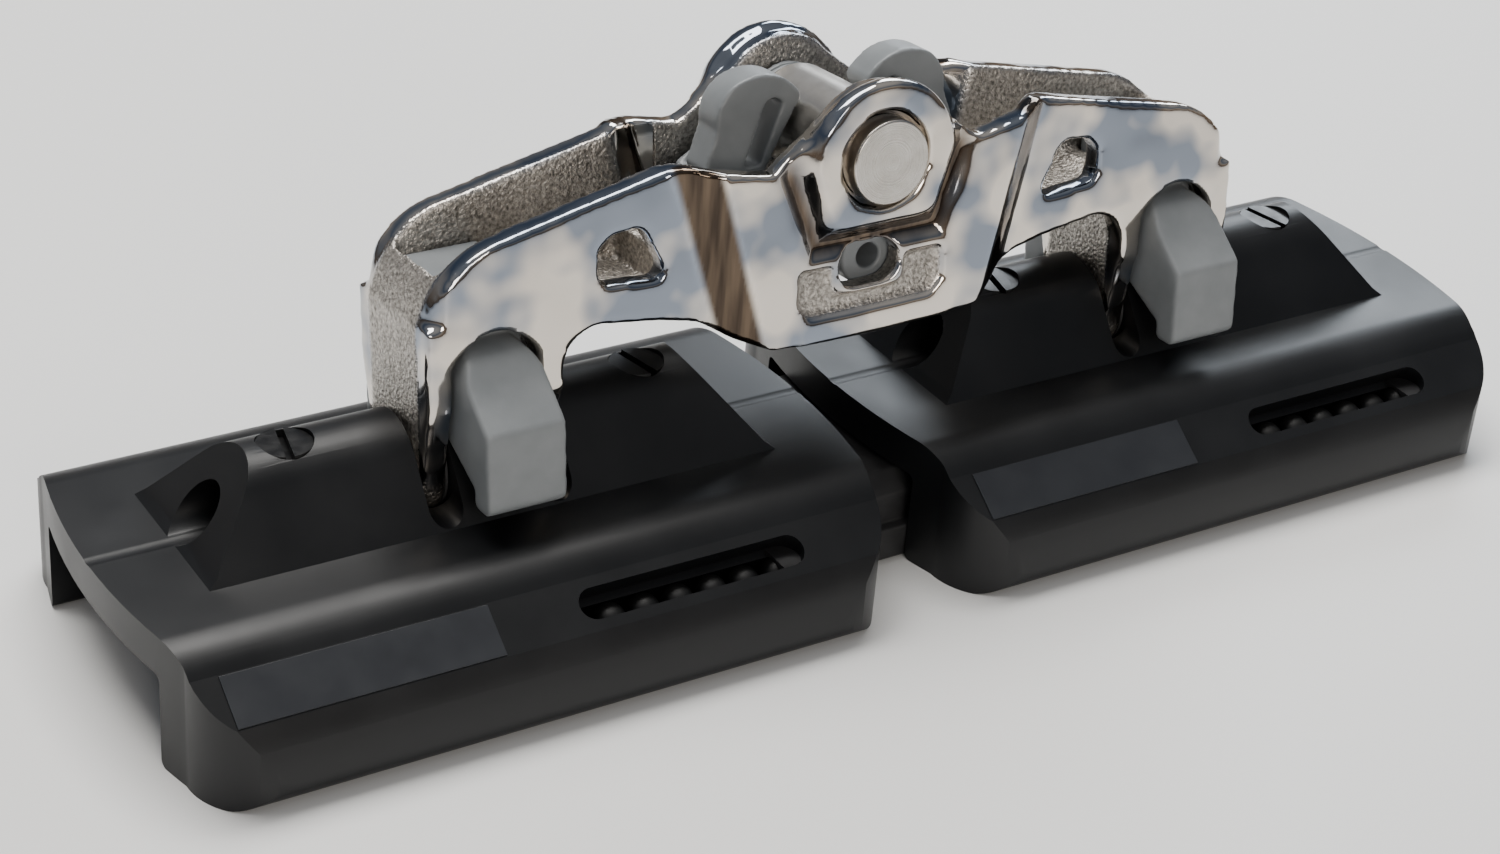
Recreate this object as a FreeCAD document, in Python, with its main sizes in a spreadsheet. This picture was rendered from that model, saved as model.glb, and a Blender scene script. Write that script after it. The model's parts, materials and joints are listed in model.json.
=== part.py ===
import FreeCAD, Part
import math
import os
import Sketcher
from FreeCAD import Placement, Rotation, Vector

# Tandem ball-bearing track car: two cars joined by a cast yoke that carries a cross pin.
# Millimetres. X runs along the track, Y across it, Z up from the cars' bottom edges.
# The origin is midway between the two cars, on the centre line, at the bottom edge.
# The yoke and all it carries are drawn upright about the pivot axis and then leaned back
# onto their stop, where one saddle foot meets the car tops.

SIZES = {
    # cars
    "car_pitch": 120.0,
    "car_half_length": 56.7,
    "car_end_bulge": 2.0,
    "car_half_width": 36.8,
    "plate_top": 20.8,
    "plate_thickness": 6.2,
    "channel_width": 41.0,
    "shoulder_out": 20.5,
    "upper_crease_out": 27.7,
    "upper_crease_up": 17.8,
    "lower_crease_out": 34.4,
    "lower_crease_up": 13.2,
    "bottom_corner": 4.0,
    "end_corner": 12.0,
    # ridge on each car and what it holds
    "ridge_half_length": 43.04,
    "ridge_half_width": 12.54,
    "ridge_ledge": 1.2,
    "ridge_crown": 8.5,
    "ridge_end_slope": 0.813,
    "pivot_up": 24.6,
    "pivot_pin_diameter": 8.0,
    "pivot_pin_length": 68.0,
    "screw_diameter": 8.0,
    "screw_out": 27.8,
    "screw_sink": 0.6,
    "screw_slot": 1.2,
    "leg_gap": 0.6,
    "slot_land": 0.2,
    # ball circuits
    "ball_diameter": 5.0,
    "race_up": 10.6,
    "race_inset": 0.7,
    "return_inset": 8.7,
    "race_half_length": 35.0,
    "window_start": 2.3,
    "window_length": 36.5,
    "window_width": 4.8,
    # loader rail
    "loader_length": 190.0,
    "loader_base_height": 5.8,
    "loader_head_up": 13.6,
    "loader_gap": 0.3,
    # yoke
    "lean_angle": 6.5,
    "leg_out": 10.6,
    "leg_thickness": 4.0,
    "leg_eye": 7.6,
    "arm_half_width": 11.0,
    "body_half_width": 15.5,
    "wall": 4.0,
    "yoke_corner": 3.0,
    "boss_half_width": 17.2,
    "boss_radius": 11.8,
    "cross_pin_up": 38.3,
    "cross_pin_shank": 11.0,
    "cross_pin_head": 12.7,
    "head_stand": 1.1,
    "head_gap": 1.0,
    "running_fit": 0.04,
    # saddles
    "saddle_gap": 0.4,
    "saddle_half_width": 19.7,
    "saddle_foot": -1.53,
    "saddle_top": 28.6,
    # labels
    "label_start": 49.5,
    "label_length": 39.0,
    "label_thickness": 0.2,
    # webbing guides
    "guide_width": 5.6,
}

doc = FreeCAD.newDocument("TandemTrackCar")
sheet = doc.addObject("Spreadsheet::Sheet", "Sizes")
for row, (alias, value) in enumerate(SIZES.items(), start=1):
    sheet.set("A%d" % row, alias)
    sheet.set("B%d" % row, str(value))
    sheet.setAlias("B%d" % row, alias)
doc.recompute()


def size(alias):
    """A driving dimension, read back from the spreadsheet."""
    return float(sheet.get(alias))


NODES = []
HALF_PITCH = size("car_pitch") / 2
PLATE_UNDER = size("plate_top") - size("plate_thickness")
HALF_CHANNEL = size("channel_width") / 2
RACE_OUT = HALF_CHANNEL + size("race_inset")
RETURN_OUT = HALF_CHANNEL + size("return_inset")
TURN_RADIUS = (RETURN_OUT - RACE_OUT) / 2
TURN_OUT = (RETURN_OUT + RACE_OUT) / 2
RACE_RADIUS = size("ball_diameter") / 2 + 0.1
GUIDE_RADIUS = TURN_RADIUS + RACE_RADIUS + 0.8
GUIDE_HALF_HEIGHT = RACE_RADIUS + 0.4
LEG_IN = size("leg_out") - size("leg_thickness")
SADDLE_HALF_LENGTH = LEG_IN - size("saddle_gap")
SLOT_IN = LEG_IN - size("leg_gap")
SLOT_OUT = size("leg_out") + size("leg_gap")
FACET_RUN = size("lower_crease_out") - size("upper_crease_out")
FACET_FALL = size("upper_crease_up") - size("lower_crease_up")
FACET_LENGTH = math.hypot(FACET_RUN, FACET_FALL)
FACET_NORMAL = Vector(0, FACET_FALL / FACET_LENGTH, FACET_RUN / FACET_LENGTH)
FACET_DOWN = Vector(0, FACET_RUN / FACET_LENGTH, -FACET_FALL / FACET_LENGTH)
SHANK_RADIUS = size("cross_pin_shank") / 2
HEAD_RADIUS = size("cross_pin_head") / 2
BUSH_RADIUS = size("pivot_pin_diameter") / 2 + 1.2
BODY_INNER = size("body_half_width") - size("wall")
ARM_INNER = size("arm_half_width") - size("wall")
RIDGE_FLARE = 0.96
LIP = 1.2

# window cutter: how far it starts inside the facet, and its length
WINDOW_TOOL_SINK = 4.2
WINDOW_TOOL_LENGTH = 8

# set screws: depth of the slot, and how far each is turned
SCREW_SLOT_DEPTH = 1.5
SCREW_TURN = 12

# yoke in plan: where the wide middle starts and ends folding in, at this height above
# the pivot axis, and how much farther out each is per millimetre of height
FOLD_HEIGHT = 13
FOLD_START, FOLD_START_RISE = 18.9, 0.26
FOLD_END, FOLD_END_RISE = 24.8, 0.28
SHELL_HEIGHT = 54.0
LEG_FOOT = 11.0
ARCH_FOOT = 13.6
LEG_TOP = 24.0
LEG_KNEE = 13.0

# bosses, panel and lashing slot
BOSS_SHY = 0.8
BOSS_FLARE = 3.2
BOSS_FLAT_UP = 2.6
HEAD_SINK = 2.4
PANEL_DEPTH = 1.4
LASHING_CENTRE = (-1.2, 22.0)
LASHING_HALF_RUN = 2.0
LASHING_RADIUS = 3.3

# saddles: where each shoulder springs, and the notch between the two walls
SADDLE_SPRING = 14.9
SADDLE_LEG = 4.6
NOTCH_UP, NOTCH_RADIUS = 18.0, 3.0

# cross pin's back end
RING_START, RING_WIDTH, RING_GROOVE = 0.4, 1.0, 0.8
RING_STAND = 2.2
RING_GAP = 50
PIN_TAIL = 3.0
ROLLER_LENGTH = 16.4
ROLLER_WALL = 2
ROLLER_FIT = 0.05
ROLLER_RADIUS = SHANK_RADIUS + ROLLER_WALL

# webbing guides: foot block and cheeks, measured out from the roller and up from its axis
GUIDE_FOOT_NEAR, GUIDE_FOOT_FAR = 5.5, 12.1
GUIDE_FOOT_LOW, GUIDE_FOOT_HIGH = -9.4, -5.0
CHEEK = 1.1
CHEEK_RIM = 1.5
CHEEK_INSIDE = {"left": 8.6, "right": 9.9}

BOBBIN_CENTRE = (1.0, 21.6)
BOBBIN_RADIUS = 4.6
BOBBIN_BORE = 1.9


# ---------------------------------------------------------------- drawing helpers

def flat(points):
    """Sketch points from pairs of numbers."""
    return [Vector(u, v, 0) for u, v in points]


def outline(*steps):
    """A closed run of sketch edges; a step is a point, or (middle, end) for an arc."""
    edges = []
    here = Vector(*steps[0], 0)
    first = here
    for step in steps[1:]:
        if isinstance(step[0], tuple):
            middle, end = flat(step)
            edges.append(Part.Arc(here, middle, end))
        else:
            end = Vector(*step, 0)
            edges.append(Part.LineSegment(here, end))
        here = end
    if here.distanceToPoint(first) > 1e-6:
        edges.append(Part.LineSegment(here, first))
    return edges


def rectangle(low_u, low_v, high_u, high_v):
    return outline((low_u, low_v), (high_u, low_v), (high_u, high_v), (low_u, high_v))


def circle(u, v, radius):
    return [Part.Circle(Vector(u, v, 0), Vector(0, 0, 1), radius)]


def arc_point(u, v, radius, degrees):
    angle = math.radians(degrees)
    return (u + radius * math.cos(angle), v + radius * math.sin(angle))


def new_body(name):
    body = doc.addObject("PartDesign::Body", name)
    body.Label = name
    NODES.append(body)
    return body


def sketch_on(body, name, role, edges, offset=None):
    """A sketch on one of the body's own origin planes, moved along its normal by offset."""
    sketch = body.newObject("Sketcher::SketchObject", name)
    plane = next(item for item in body.Origin.OriginFeatures if item.Role == role)
    sketch.AttachmentSupport = [(plane, "")]
    sketch.MapMode = "FlatFace"
    sketch.addGeometry(edges)
    if offset is not None:
        sketch.setExpression("AttachmentOffset.Base.z", offset)
    return sketch


def radius_from(sketch, expression, index=0):
    """Bind the radius of a circle of the sketch to the spreadsheet."""
    radius = sketch.Geometry[index].Radius
    number = sketch.addConstraint(Sketcher.Constraint("Radius", index, radius))
    sketch.setExpression("Constraints[%d]" % number, expression)
    return sketch


def pad(body, sketch, length, symmetric=False, reverse=False):
    feature = body.newObject("PartDesign::Pad", sketch.Name + "_pad")
    feature.Profile = sketch
    feature.SideType = "Symmetric" if symmetric else "One side"
    feature.Reversed = reverse
    feature.setExpression("Length", length)
    body.Tip = feature
    return feature


def pocket(body, sketch, length=None, symmetric=True, reverse=False):
    """Cut through everything, or to a stated length."""
    feature = body.newObject("PartDesign::Pocket", sketch.Name + "_cut")
    feature.Profile = sketch
    feature.SideType = "Symmetric" if symmetric else "One side"
    feature.Reversed = reverse
    if length is None:
        feature.Type = "ThroughAll"
    else:
        feature.setExpression("Length", length)
    body.Tip = feature
    return feature


def place(item, along):
    """Move a piece of a car along the track."""
    item.setExpression("Placement.Base.x", along)
    return item


def lean(item, along="0"):
    """Carry a piece of the yoke up to the pivot axis and lean it back onto its stop."""
    item.setExpression(
        "Placement",
        "create(<<placement>>; create(<<vector>>; %s; 0; Sizes.pivot_up);"
        " create(<<rotation>>; create(<<vector>>; 1; 0; 0); -Sizes.lean_angle))" % along,
    )
    return item


def group(name, pieces):
    """Several separate solids that share one node."""
    compound = doc.addObject("Part::Compound", name)
    compound.Label = name
    compound.Links = pieces
    NODES.append(compound)
    return compound


# ---------------------------------------------------------------- the two cars

def car_profile():
    """Half of the section across the track, then its mirror image, as one outline."""
    top = size("plate_top")
    wide = size("car_half_width")
    corner = size("bottom_corner")
    inner = HALF_CHANNEL
    shoulder = size("shoulder_out")
    up_out, up_z = size("upper_crease_out"), size("upper_crease_up")
    low_out, low_z = size("lower_crease_out"), size("lower_crease_up")
    shoulder_mid = ((shoulder + up_out) / 2 + 0.3, (top + up_z) / 2 + 0.75)
    flank_mid = ((low_out + wide) / 2 + 0.6, (low_z + corner) / 2 + 0.2)
    bottom_mid = arc_point(wide - corner, corner, corner, -45)
    lip = LIP
    lip_mid = arc_point(inner + lip, lip, lip, -135)
    roof_mid = arc_point(inner - lip, PLATE_UNDER - lip, lip, 45)

    def flip(point):
        return (-point[0], point[1])

    return outline(
        (shoulder, top),
        (shoulder_mid, (up_out, up_z)),
        (low_out, low_z),
        (flank_mid, (wide, corner)),
        (bottom_mid, (wide - corner, 0)),
        (inner + lip, 0),
        (lip_mid, (inner, lip)),
        (inner, PLATE_UNDER - lip),
        (roof_mid, (inner - lip, PLATE_UNDER)),
        (-(inner - lip), PLATE_UNDER),
        (flip(roof_mid), (-inner, PLATE_UNDER - lip)),
        (-inner, lip),
        (flip(lip_mid), (-(inner + lip), 0)),
        (-(wide - corner), 0),
        (flip(bottom_mid), (-wide, corner)),
        (flip(flank_mid), (-low_out, low_z)),
        (-up_out, up_z),
        (flip(shoulder_mid), (-shoulder, top)),
    )


def car_end_waste(sign):
    """What is cut away beyond one rounded end, seen from above."""
    tip = size("car_half_length")
    bulge = size("car_end_bulge")
    wide = size("car_half_width")
    corner = size("end_corner")
    side = tip - bulge
    turn = (wide - corner * 0.9, side - corner * 0.1)
    clear = tip + 2
    far = wide + 2
    middle = (sign * (side - corner * 0.3), wide - corner * 0.32)
    start = (sign * (side - corner), far)
    return outline(
        start,
        (sign * (side - corner), wide),
        (middle, (sign * turn[1], turn[0])),
        ((sign * tip, 0), (sign * turn[1], -turn[0])),
        ((middle[0], -middle[1]), (sign * (side - corner), -wide)),
        (sign * (side - corner), -far),
        (sign * clear, -far),
        (sign * clear, far),
    )


def ridge_section():
    """The ridge across the track: a round crown on sloping flanks above a small ledge."""
    half = size("ridge_half_width")
    crown = size("ridge_crown")
    pivot = size("pivot_up")
    foot = size("plate_top")
    ledge = foot + size("ridge_ledge")
    reach = math.hypot(half, pivot - ledge)
    start = math.degrees(math.acos(crown / reach) - math.atan2(pivot - ledge, half))
    right = arc_point(0, pivot, crown, start)
    left = (-right[0], right[1])
    out = half + RIDGE_FLARE
    root = PLATE_UNDER + 1
    return outline(
        (out, root),
        (out, foot),
        (half, ledge),
        right,
        ((0, pivot + crown), left),
        (-half, ledge),
        (-out, foot),
        (-out, root),
    )


def ridge_end_waste(sign):
    """The wedge cut from one end of the ridge, seen from the side."""
    foot = size("plate_top")
    ledge = foot + size("ridge_ledge")
    low = size("ridge_half_length")
    top = size("pivot_up") + size("ridge_crown") + 1
    high = low - (top - ledge) * size("ridge_end_slope")
    far = low + 6
    return outline(
        (sign * (low + 1.5), foot), (sign * low, ledge), (sign * high, top), (sign * far, top), (sign * far, foot)
    )


def leg_slot(sign):
    """The round-bottomed slot that a yoke leg drops into, seen from the side."""
    middle = sign * (SLOT_IN + SLOT_OUT) / 2
    half = (SLOT_OUT - SLOT_IN) / 2
    bottom = size("plate_top") + size("slot_land")
    top = size("pivot_up") + size("ridge_crown") + 2
    return outline(
        (middle - half, top),
        (middle - half, bottom + half),
        ((middle, bottom), (middle + half, bottom + half)),
        (middle + half, top),
    )


def window_tool(name, sign):
    """A round-ended bar square to the sloping facet, which opens it onto the return balls.

    It is drawn for the back of the car, and turned half round for the front.
    """
    half = size("window_width") / 2
    start = -(size("window_start") + size("window_length") - half)
    end = -(size("window_start") + half)
    crease = Vector(0, size("upper_crease_out"), size("upper_crease_up"))
    centre = crease + FACET_DOWN * (FACET_LENGTH / 2) - FACET_NORMAL * WINDOW_TOOL_SINK
    ends = [start, end]
    pieces = []
    turn = Rotation(Vector(0, 0, 1), FACET_NORMAL)
    for number, along in enumerate(ends):
        bar = doc.addObject("Part::Cylinder", "%s_end_%d" % (name, number))
        bar.setExpression("Radius", "Sizes.window_width / 2")
        bar.Height = WINDOW_TOOL_LENGTH
        bar.Placement = Placement(centre + Vector(along, 0, 0), turn)
        pieces.append(bar)
    slab = doc.addObject("Part::Box", name + "_slab")
    slab.setExpression("Length", "Sizes.window_length - Sizes.window_width")
    slab.setExpression("Width", "Sizes.window_width")
    slab.Height = WINDOW_TOOL_LENGTH
    tilt = Rotation(Vector(1, 0, 0), -math.degrees(math.atan2(FACET_FALL, FACET_RUN)))
    slab.Placement = Placement(centre + Vector(start, 0, 0) - FACET_DOWN * half, tilt)
    pieces.append(slab)
    tool = doc.addObject("Part::MultiFuse", name)
    tool.Shapes = pieces
    if sign < 0:
        tool.Placement = Placement(Vector(0, 0, 0), Rotation(Vector(0, 0, 1), 180))
    return tool


def both_ends(shape):
    """The same outline drawn at both ends of the car."""
    return shape(-1) + shape(1)


def four_turns():
    """Plans of the four turnarounds, front and back at both ends."""
    return [edge for sign in (-1, 1) for side in (-1, 1) for edge in turn_outline(sign, side)]


def car_blank(name):
    """The car without its two windows: section, rounded ends, ridge, slots and bores."""
    body = doc.addObject("PartDesign::Body", name + "_blank")
    profile = sketch_on(body, name + "_section", "YZ_Plane", car_profile())
    pad(body, profile, "2 * Sizes.car_half_length", symmetric=True)
    pocket(body, sketch_on(body, name + "_ends", "XY_Plane", both_ends(car_end_waste)))
    ridge = sketch_on(body, name + "_ridge", "YZ_Plane", ridge_section())
    pad(body, ridge, "2 * Sizes.ridge_half_length + 3", symmetric=True)
    pocket(body, sketch_on(body, name + "_facets", "XZ_Plane", both_ends(ridge_end_waste)))
    pocket(body, sketch_on(body, name + "_leg_slots", "XZ_Plane", both_ends(leg_slot)))
    for sign in (-1, 1):
        tag = "%s_%s" % (name, "a" if sign < 0 else "b")
        eye = circle(0, size("pivot_up"), size("leg_eye") + size("leg_gap"))
        start = "%d * (Sizes.leg_out - Sizes.leg_thickness - Sizes.leg_gap)" % sign
        room = sketch_on(body, tag + "_eye_room", "YZ_Plane", eye, start)
        radius_from(room, "Sizes.leg_eye + Sizes.leg_gap")
        pocket(body, room, "Sizes.leg_thickness + 2 * Sizes.leg_gap", symmetric=False, reverse=sign > 0)
    screw_hole = size("screw_diameter") / 2 + 0.1
    edges = circle(-size("screw_out"), 0, screw_hole) + circle(size("screw_out"), 0, screw_hole)
    holes = sketch_on(body, name + "_screw_holes", "XY_Plane", edges, "Sizes.pivot_up")
    pocket(body, holes, "Sizes.ridge_crown + 2", symmetric=False, reverse=True)
    bore = sketch_on(body, name + "_pivot_bore", "YZ_Plane", circle(0, size("pivot_up"), 4))
    radius_from(bore, "Sizes.pivot_pin_diameter / 2")
    pocket(body, bore)
    edges = circle(-RACE_OUT, size("race_up"), RACE_RADIUS) + circle(RACE_OUT, size("race_up"), RACE_RADIUS)
    pocket(body, sketch_on(body, name + "_races", "YZ_Plane", edges), "2 * (Sizes.race_half_length + 1)")
    edges = circle(-RETURN_OUT, size("race_up"), RACE_RADIUS) + circle(RETURN_OUT, size("race_up"), RACE_RADIUS)
    pocket(body, sketch_on(body, name + "_returns", "YZ_Plane", edges), "2 * Sizes.race_half_length")
    turns = sketch_on(body, name + "_turn_rooms", "XY_Plane", four_turns(), "Sizes.race_up")
    pocket(body, turns, "%.6f" % (2 * GUIDE_HALF_HEIGHT))
    return body


def turn_outline(sign, side):
    """The D shape of a turnaround seen from above, flush with the channel's wall."""
    start = sign * size("race_half_length")
    radius = GUIDE_RADIUS
    inner = HALF_CHANNEL
    drop = math.sqrt(radius ** 2 - (TURN_OUT - inner) ** 2)
    middle = arc_point(start, side * TURN_OUT, radius, 0 if sign > 0 else 180)
    return outline(
        (start, side * (TURN_OUT + radius)),
        (middle, (start + sign * drop, side * inner)),
        (start, side * inner),
    )


def car_body(name, along):
    blank = car_blank(name)
    cut = doc.addObject("Part::Cut", name)
    cut.Label = name
    tools = [window_tool(name + "_front_window", -1), window_tool(name + "_back_window", 1)]
    both = doc.addObject("Part::MultiFuse", name + "_windows")
    both.Shapes = tools
    cut.Base = blank
    cut.Tool = both
    NODES.append(cut)
    return place(cut, along)


def ball_guides(name, along):
    """Four plastic turnarounds, each with a half ring bored through it for the balls."""
    pieces = []
    for sign in (-1, 1):
        for side in (-1, 1):
            tag = "%s_%s%s" % (name, "a" if sign < 0 else "b", "f" if side < 0 else "r")
            body = doc.addObject("PartDesign::Body", tag)
            shape = sketch_on(body, tag + "_plan", "XY_Plane", turn_outline(sign, side), "Sizes.race_up")
            pad(body, shape, "%.6f" % (2 * GUIDE_HALF_HEIGHT), symmetric=True)
            ring = doc.addObject("Part::Torus", tag + "_ring")
            ring.Radius1 = TURN_RADIUS
            ring.Radius2 = RACE_RADIUS
            start = sign * size("race_half_length")
            ring.Placement = Placement(Vector(start, side * TURN_OUT, size("race_up")), Rotation())
            guide = doc.addObject("Part::Cut", tag + "_bored")
            guide.Base = body
            guide.Tool = ring
            pieces.append(guide)
    return place(group(name, pieces), along)


def circuit_point(travel):
    """A place on the ball circuit, from a distance travelled round it."""
    run = 2 * size("race_half_length")
    turn = math.pi * TURN_RADIUS
    travel = travel % (2 * (run + turn))
    if travel < run:
        return (travel - run / 2, RACE_OUT)
    if travel < run + turn:
        angle = (travel - run) / TURN_RADIUS - math.pi / 2
        return (run / 2 + TURN_RADIUS * math.cos(angle), TURN_OUT + TURN_RADIUS * math.sin(angle))
    if travel < 2 * run + turn:
        return (run / 2 - (travel - run - turn), RETURN_OUT)
    angle = (travel - 2 * run - turn) / TURN_RADIUS + math.pi / 2
    return (-run / 2 + TURN_RADIUS * math.cos(angle), TURN_OUT + TURN_RADIUS * math.sin(angle))


def ball_row(name, side, along):
    """One circuit of balls, as many as roll round the turns without touching."""
    ball = size("ball_diameter")
    room = 2 * TURN_RADIUS * math.asin((ball + 0.05) / (2 * TURN_RADIUS))
    round_trip = 4 * size("race_half_length") + 2 * math.pi * TURN_RADIUS
    count = int(round_trip / room)
    pieces = []
    for number in range(count):
        x, y = circuit_point(number * round_trip / count)
        sphere = doc.addObject("Part::Sphere", "%s_%02d" % (name, number + 1))
        sphere.setExpression("Radius", "Sizes.ball_diameter / 2")
        sphere.Placement = Placement(Vector(x, side * y, size("race_up")), Rotation())
        pieces.append(sphere)
    return place(group(name, pieces), along)


def pivot_pin(name, along):
    body = new_body(name)
    radius = size("pivot_pin_diameter") / 2 - size("running_fit")
    end = sketch_on(body, name + "_end", "YZ_Plane", circle(0, size("pivot_up"), radius))
    radius_from(end, "Sizes.pivot_pin_diameter / 2 - Sizes.running_fit")
    pad(body, end, "Sizes.pivot_pin_length", symmetric=True)
    return place(body, along)


def set_screws(name, along):
    """The two slotted screws that bear on the pivot pin from above."""
    pieces = []
    for sign in (-1, 1):
        tag = "%s_%s" % (name, "a" if sign < 0 else "b")
        shank = doc.addObject("Part::Cylinder", tag + "_shank")
        shank.setExpression("Radius", "Sizes.screw_diameter / 2")
        shank.setExpression("Height", "Sizes.ridge_crown - Sizes.pivot_pin_diameter / 2 - Sizes.screw_sink")
        shank.setExpression("Placement.Base.x", "%d * Sizes.screw_out" % sign)
        shank.setExpression("Placement.Base.z", "Sizes.pivot_up + Sizes.pivot_pin_diameter / 2")
        slot = doc.addObject("Part::Box", tag + "_slot")
        slot.setExpression("Length", "Sizes.screw_slot")
        slot.setExpression("Width", "Sizes.screw_diameter + 2")
        slot.Height = 2 * SCREW_SLOT_DEPTH
        turn = Rotation(Vector(0, 0, 1), SCREW_TURN * sign)
        corner = turn.multVec(Vector(-size("screw_slot") / 2, -size("screw_diameter") / 2 - 1, 0))
        top = size("pivot_up") + size("ridge_crown") - size("screw_sink") - SCREW_SLOT_DEPTH
        slot.Placement = Placement(corner + Vector(sign * size("screw_out"), 0, top), turn)
        screw = doc.addObject("Part::Cut", tag)
        screw.Base = shank
        screw.Tool = slot
        pieces.append(screw)
    return place(group(name, pieces), along)


def label(name, along):
    """A thin plain plate stuck on the sloping facet in front of the window."""
    plate = doc.addObject("Part::Box", name)
    plate.Label = name
    edge = 0.25
    plate.setExpression("Length", "Sizes.label_length")
    plate.Width = FACET_LENGTH - 2 * edge
    plate.setExpression("Height", "Sizes.label_thickness")
    crease = Vector(0, -size("upper_crease_out"), size("upper_crease_up"))
    down = Vector(0, -FACET_DOWN.y, FACET_DOWN.z)
    corner = crease + down * (FACET_LENGTH - edge)
    tilt = Rotation(Vector(1, 0, 0), math.degrees(math.atan2(FACET_FALL, FACET_RUN)))
    plate.Placement = Placement(corner - Vector(size("label_start"), 0, 0), tilt)
    plate.setExpression("Placement.Base.x", "%s - Sizes.label_start" % along)
    NODES.append(plate)
    return plate


# ---------------------------------------------------------------- the loader rail

def loader_rail():
    """A plastic stand-in for the track, which keeps the balls in both cars."""
    body = new_body("loader_rail")
    gap = size("loader_gap")
    base = HALF_CHANNEL - gap
    head = RACE_OUT - size("ball_diameter") / 2 - gap
    top = size("loader_head_up")
    bevel = 3.0
    section = outline(
        (-base, gap), (base, gap), (base, size("loader_base_height")), (head, size("loader_base_height")),
        (head, top - bevel), (head - bevel, top), (bevel - head, top), (-head, top - bevel),
        (-head, size("loader_base_height")), (-base, size("loader_base_height")),
    )
    pad(body, sketch_on(body, "loader_section", "YZ_Plane", section), "Sizes.loader_length", symmetric=True)
    return body


# ---------------------------------------------------------------- the yoke

def plan_outline(body_half, arm_half, end, lift, corner):
    """The yoke seen from above at one height: a wide middle that folds in to two arms."""
    fold_in = FOLD_START + FOLD_START_RISE * (lift - FOLD_HEIGHT)
    fold_out = FOLD_END + FOLD_END_RISE * (lift - FOLD_HEIGHT)
    half = [
        (0, -body_half), (fold_in, -body_half), (fold_out, -arm_half),
        (end - corner, -arm_half), (end, corner - arm_half),
    ]
    right = half + [(x, -y) for x, y in reversed(half)]
    left = [(-x, -y) for x, y in right]
    points = right + left
    kept = [point for number, point in enumerate(points) if point != points[number - 1]]
    return outline(*kept)


def mirrored(steps):
    """The same run of steps on the other side of the middle, walked back to front."""
    def end_of(step):
        return step[1] if isinstance(step[0], tuple) else step

    back = []
    for before, step in zip(steps, steps[1:]):
        u, v = end_of(before)
        if isinstance(step[0], tuple):
            back.append(((-step[0][0], step[0][1]), (-u, v)))
        else:
            back.append((-u, v))
    return back[::-1]


def side_outline():
    """The yoke seen from the front, as one closed line through both arms."""
    up = size("cross_pin_up")
    boss = size("boss_radius") - BOSS_SHY
    centre = HALF_PITCH
    out = size("leg_out")
    end = centre + out
    leg_in = LEG_IN + 0.3
    crown = arc_point(0, up, boss, 38)
    right = [
        crown, (17.6, 38.4), (centre - 29.5, 41.0), (centre - 2, 35.2),
        ((end - 3.6, 30.4), (end, 21.5)),
        (end, LEG_FOOT), (centre + leg_in, LEG_FOOT), (centre + leg_in, ARCH_FOOT),
        ((centre, ARCH_FOOT + leg_in + 1.4), (centre - leg_in, ARCH_FOOT)),
        (centre - leg_in, LEG_FOOT), (centre - out, LEG_FOOT), (centre - out, 14.0),
        ((centre - 13.2, 18.6), (centre - 18.0, 19.3)),
        (centre - 26.0, 18.1), (27.4, 16.5), (22.6, 13.5), (17.6, 11.6),
    ]
    belly = ((0, 10.8), (-17.6, 11.6))
    top = ((0, up + boss), crown)
    return outline(*right, belly, *mirrored(right), top)


def leg_profile():
    """A yoke leg seen along the track: the arm's width at the top, a round eye below."""
    wide = size("arm_half_width")
    eye = size("leg_eye")
    knee = LEG_KNEE
    reach = math.hypot(wide, knee)
    angle = math.degrees(math.atan2(knee, wide) - math.acos(eye / reach))
    right = arc_point(0, 0, eye, angle)
    left = (-right[0], right[1])
    return outline((-wide, LEG_TOP), (wide, LEG_TOP), (wide, knee), right, ((0, -eye), left), (-wide, knee))


def window_outline(sign):
    """The four-sided window in each arm, larger towards the middle of the yoke."""
    corners = [(33.8, 24.4), (42.8, 25.2), (43.8, 27.0), (43.6, 30.6), (41.8, 32.4), (37.6, 33.0), (36.2, 32.0),
               (33.2, 26.2)]
    return outline(*[(sign * u, v) for u, v in corners])


def obround(u, v, half_run, radius):
    return outline(
        (u - half_run, v - radius),
        (u + half_run, v - radius),
        ((u + half_run + radius, v), (u + half_run, v + radius)),
        (u - half_run, v + radius),
        ((u - half_run - radius, v), (u - half_run, v - radius)),
    )


def yoke():
    """The stainless casting: two walls joined by four legs, arm floors and two webs."""
    body = new_body("yoke")
    end = HALF_PITCH + size("leg_out")
    wall = size("wall")
    for name, shrink in (("shell", 0.0), ("hollow", wall)):
        sections = []
        for tag, lift in (("low", 0.0), ("high", SHELL_HEIGHT)):
            edges = plan_outline(size("body_half_width") - shrink, size("arm_half_width") - shrink,
                                 end - shrink, lift, size("yoke_corner") if shrink == 0 else 0.4)
            sketch = sketch_on(body, "yoke_%s_%s" % (name, tag), "XY_Plane", edges, "%.3f" % lift)
            sections.append(sketch)
        kind = "PartDesign::AdditiveLoft" if shrink == 0 else "PartDesign::SubtractiveLoft"
        loft = body.newObject(kind, "yoke_" + name)
        loft.Profile = sections[0]
        loft.Sections = sections[1:]
        loft.Ruled = True
        body.Tip = loft
    frame = rectangle(-end - 8, -12, end + 8, SHELL_HEIGHT + 8)
    pocket(body, sketch_on(body, "yoke_side", "XZ_Plane", frame + side_outline()))
    return body


def boss_outline(flare):
    """The raised boss round the cross pin: round above, five-sided below, wider at its foot."""
    up = size("cross_pin_up")
    wide = size("boss_radius")
    low = up - wide + BOSS_FLAT_UP - flare
    side = wide + flare * 0.5
    return outline(
        (-side, up),
        ((0, up + wide), (side, up)),
        (wide - 3.2 + flare, low + 1), (wide - 5, low),
        (5 - wide, low), (3.2 - wide - flare, low + 1),
    )


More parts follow.
